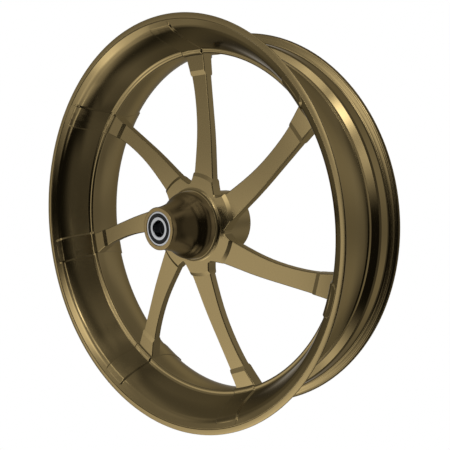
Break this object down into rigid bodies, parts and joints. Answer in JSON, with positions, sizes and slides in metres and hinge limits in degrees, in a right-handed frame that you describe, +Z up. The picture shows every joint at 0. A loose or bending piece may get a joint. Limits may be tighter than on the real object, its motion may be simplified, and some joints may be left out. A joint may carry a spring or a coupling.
{
  "type": "spoked wheel",
  "caption": "Wide motorcycle wheel with swept flat spokes, deep dished rim, bell-shaped hub and sealed ball bearings on a plain axle bore.",
  "frame": {"origin": "centre of the wheel, on the axle axis midway between the two ends of the hub", "axes": "+Y along the axle towards the brake rotor face, -Y towards the dished side with the bell-shaped hub nose, +Z up through one spoke, +X to the right seen from the dished side"},
  "size_m": [0.6122, 0.1578, 0.6122],
  "materials": {
    "rim_alloy": "satin bronze anodised",
    "star_alloy": "satin bronze anodised",
    "hub_alloy": "satin bronze anodised",
    "spacer_alloy": "machined",
    "bearing_steel": "ground and polished",
    "ball_steel": "polished",
    "cage_steel": "pressed",
    "seal_rubber": "matt black",
    "valve_brass": "plain",
    "valve_rubber": "matt",
    "valve_steel": "plated",
    "cap_plastic": "black"
  },
  "bodies": {
    "axle_core": {"near_inner_ring": "bearing_steel", "far_inner_ring": "bearing_steel", "spacer": "spacer_alloy"},
    "wheel": {"rim": "rim_alloy", "spider": "star_alloy", "hub_nose": "hub_alloy", "hub_flange": "star_alloy", "near_outer_ring": "bearing_steel", "far_outer_ring": "bearing_steel", "near_seal_out": "seal_rubber", "near_seal_in": "seal_rubber", "far_seal_out": "seal_rubber", "far_seal_in": "seal_rubber", "valve_stem": "valve_brass", "valve_seal": "valve_rubber", "valve_washer": "valve_steel", "valve_nut": "valve_steel", "valve_core": "valve_brass", "valve_cap": "cap_plastic"},
    "near_cage_set": {"near_cage": "cage_steel", "near_balls": "ball_steel"},
    "far_cage_set": {"far_cage": "cage_steel", "far_balls": "ball_steel"}
  },
  "joints": [
    {"name": "wheel_spin", "type": "hinge", "parent": "axle_core", "child": "wheel", "pos_m": [0, 0, 0], "axis": [0, 1, 0], "continuous": true},
    {"name": "near_cage_spin", "type": "hinge", "parent": "axle_core", "child": "near_cage_set", "pos_m": [0, -0.0704, 0], "axis": [0, 1, 0], "continuous": true},
    {"name": "far_cage_spin", "type": "hinge", "parent": "axle_core", "child": "far_cage_set", "pos_m": [0, 0.0704, 0], "axis": [0, 1, 0], "continuous": true}
  ],
  "couplings": [
    {"joint": "near_cage_spin", "follows": "wheel_spin", "ratio": 0.6031},
    {"joint": "far_cage_spin", "follows": "wheel_spin", "ratio": 0.6031}
  ]
}
